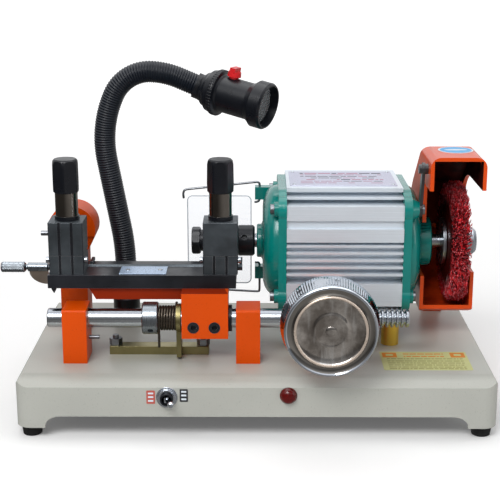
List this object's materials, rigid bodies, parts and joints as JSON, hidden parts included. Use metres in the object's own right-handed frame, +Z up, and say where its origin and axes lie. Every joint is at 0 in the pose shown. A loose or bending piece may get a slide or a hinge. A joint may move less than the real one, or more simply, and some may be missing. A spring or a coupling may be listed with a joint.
{
  "type": "key duplicating machine",
  "caption": "Bench key duplicator: rack-driven twin-jaw carriage, finned motor with cutter and guarded brush, handwheel, tracer and gooseneck lamp on a cast base",
  "frame": {"origin": "Middle of the whole machine's footprint (gauge knob to base end, handwheel to mains inlet), on the plane the rubber feet stand on", "axes": "+X runs from the jaw end to the brush end along the spindle, +Y from the handwheel to the back, +Z up"},
  "size_m": [0.475, 0.2784, 0.3317],
  "materials": {
    "base_paint": "semi_gloss",
    "orange_paint": "semi_gloss",
    "teal_paint": "semi_gloss",
    "aluminium": "satin",
    "chrome": "polished",
    "ground_steel": "satin",
    "dark_steel": "satin",
    "black_oxide": "satin",
    "zinc": "satin",
    "bronze": "satin",
    "copper": "satin",
    "black_plastic": "matte",
    "red_plastic": "gloss",
    "red_lens": "gloss",
    "sticker": "gloss",
    "rubber": "matte",
    "bristle": "matte",
    "clear_pane": "clear",
    "clear_glass": "clear"
  },
  "bodies": {
    "root": {"base_casting": "base_paint", "base_cover": "dark_steel", "rubber_feet": "rubber", "frame_fasteners": "zinc", "power_inlet": "black_plastic", "run_capacitor": "dark_steel", "switch_body": "black_plastic", "switch_nut": "chrome", "indicator_lamp": "red_lens", "label_plates": "sticker", "left_bearing_block": "orange_paint", "middle_bearing_block": "orange_paint", "shaft_bushes": "bronze", "spring_rail": "zinc", "pinion_housing": "orange_paint", "motor_posts": "ground_steel", "motor_housing": "aluminium", "end_bell_left": "teal_paint", "end_bell_right": "teal_paint", "tie_bolts": "black_oxide", "stator_core": "dark_steel", "stator_windings": "copper", "motor_bearings": "ground_steel", "brush_guard": "orange_paint", "guard_strap": "dark_steel", "tracer_column": "orange_paint", "tracer_finger": "ground_steel", "lamp_flange": "black_plastic"},
    "toggle": {"toggle_lever": "chrome"},
    "handwheel": {"handwheel": "chrome", "pinion_shaft": "ground_steel"},
    "carriage_slide": {"spring_lever": "zinc"},
    "carriage": {"carriage_shaft": "chrome", "shaft_collar": "chrome", "stop_ring": "black_oxide", "torsion_spring": "black_oxide", "carriage_casting": "orange_paint", "clamp_screws": "black_oxide", "carriage_bed": "black_oxide", "bed_nameplate": "aluminium", "lower_jaws": "black_oxide", "clamp_studs": "ground_steel"},
    "left_jaw": {"left_upper_jaw": "black_oxide"},
    "left_knob": {"left_clamp_knob": "black_plastic"},
    "right_jaw": {"right_upper_jaw": "black_oxide"},
    "right_knob": {"right_clamp_knob": "black_plastic"},
    "gauge": {"gauge_rod": "chrome"},
    "spindle": {"rotor_shaft": "ground_steel", "spindle_hub": "black_oxide", "cutter_wheel": "ground_steel", "cutter_nut": "black_oxide", "brush_wheel": "bristle", "brush_flanges": "ground_steel"},
    "shield": {"shield_wire": "chrome", "shield_pane": "clear_pane"},
    "gooseneck": {"gooseneck_lower": "black_plastic"},
    "lamp": {"gooseneck_upper": "black_plastic", "lamp_head": "black_plastic", "lamp_lens": "clear_glass"},
    "lamp_knob": {"lamp_switch": "red_plastic"}
  },
  "joints": [
    {"name": "carriage_slide", "type": "slide", "parent": "root", "child": "carriage_slide", "axis": [1, 0, 0], "range_m": [-0.05, 0.0035]},
    {"name": "carriage_tilt", "type": "hinge", "parent": "carriage_slide", "child": "carriage", "pos_m": [0.0125, -0.04825, 0.1005], "axis": [1, 0, 0], "range_deg": [-12, 35]},
    {"name": "left_jaw_lift", "type": "slide", "parent": "carriage", "child": "left_jaw", "axis": [0, 0, 1], "range_m": [0, 0.006]},
    {"name": "left_knob_turn", "type": "hinge", "parent": "left_jaw", "child": "left_knob", "pos_m": [-0.1687, -0.02775, 0.2], "axis": [0, 0, 1], "range_deg": [0, 1445]},
    {"name": "right_jaw_lift", "type": "slide", "parent": "carriage", "child": "right_jaw", "axis": [0, 0, 1], "range_m": [0, 0.006]},
    {"name": "right_knob_turn", "type": "hinge", "parent": "right_jaw", "child": "right_knob", "pos_m": [-0.0221, -0.02775, 0.2], "axis": [0, 0, 1], "range_deg": [0, 1445]},
    {"name": "gauge_flip", "type": "hinge", "parent": "carriage", "child": "gauge", "pos_m": [-0.0875, -0.01325, 0.141], "axis": [1, 0, 0], "range_deg": [0, 90]},
    {"name": "handwheel_turn", "type": "hinge", "parent": "root", "child": "handwheel", "pos_m": [0.0784, -0.08425, 0.11685], "axis": [0, 1, 0], "range_deg": [-25, 348]},
    {"name": "spindle_spin", "type": "hinge", "parent": "root", "child": "spindle", "pos_m": [0.0125, 0.04175, 0.154], "axis": [1, 0, 0], "continuous": true},
    {"name": "toggle_throw", "type": "hinge", "parent": "root", "child": "toggle", "pos_m": [-0.0705, -0.11075, 0.042], "axis": [0, 0, 1], "range_deg": [-40, 0]},
    {"name": "shield_swing", "type": "hinge", "parent": "root", "child": "shield", "pos_m": [0.0155, 0.07675, 0.15], "axis": [0, 0, 1], "range_deg": [-85, 0]},
    {"name": "gooseneck_swing", "type": "hinge", "parent": "root", "child": "gooseneck", "pos_m": [-0.1255, 0.07575, 0.08], "axis": [0, 0, 1], "range_deg": [-60, 60]},
    {"name": "gooseneck_bend", "type": "hinge", "parent": "gooseneck", "child": "lamp", "pos_m": [-0.14175, 0.07575, 0.23064], "axis": [0, 1, 0], "range_deg": [-12, 12]},
    {"name": "lamp_switch_turn", "type": "hinge", "parent": "lamp", "child": "lamp_knob", "pos_m": [-0.01367, 0.06125, 0.29858], "axis": [0.1706, -0.0854, 0.9816], "range_deg": [0, 90]}
  ],
  "couplings": [
    {"joint": "left_knob_turn", "follows": "left_jaw_lift", "rad_per_m": 4188.8},
    {"joint": "right_knob_turn", "follows": "right_jaw_lift", "rad_per_m": 4188.8},
    {"joint": "handwheel_turn", "follows": "carriage_slide", "rad_per_m": -121.21}
  ]
}
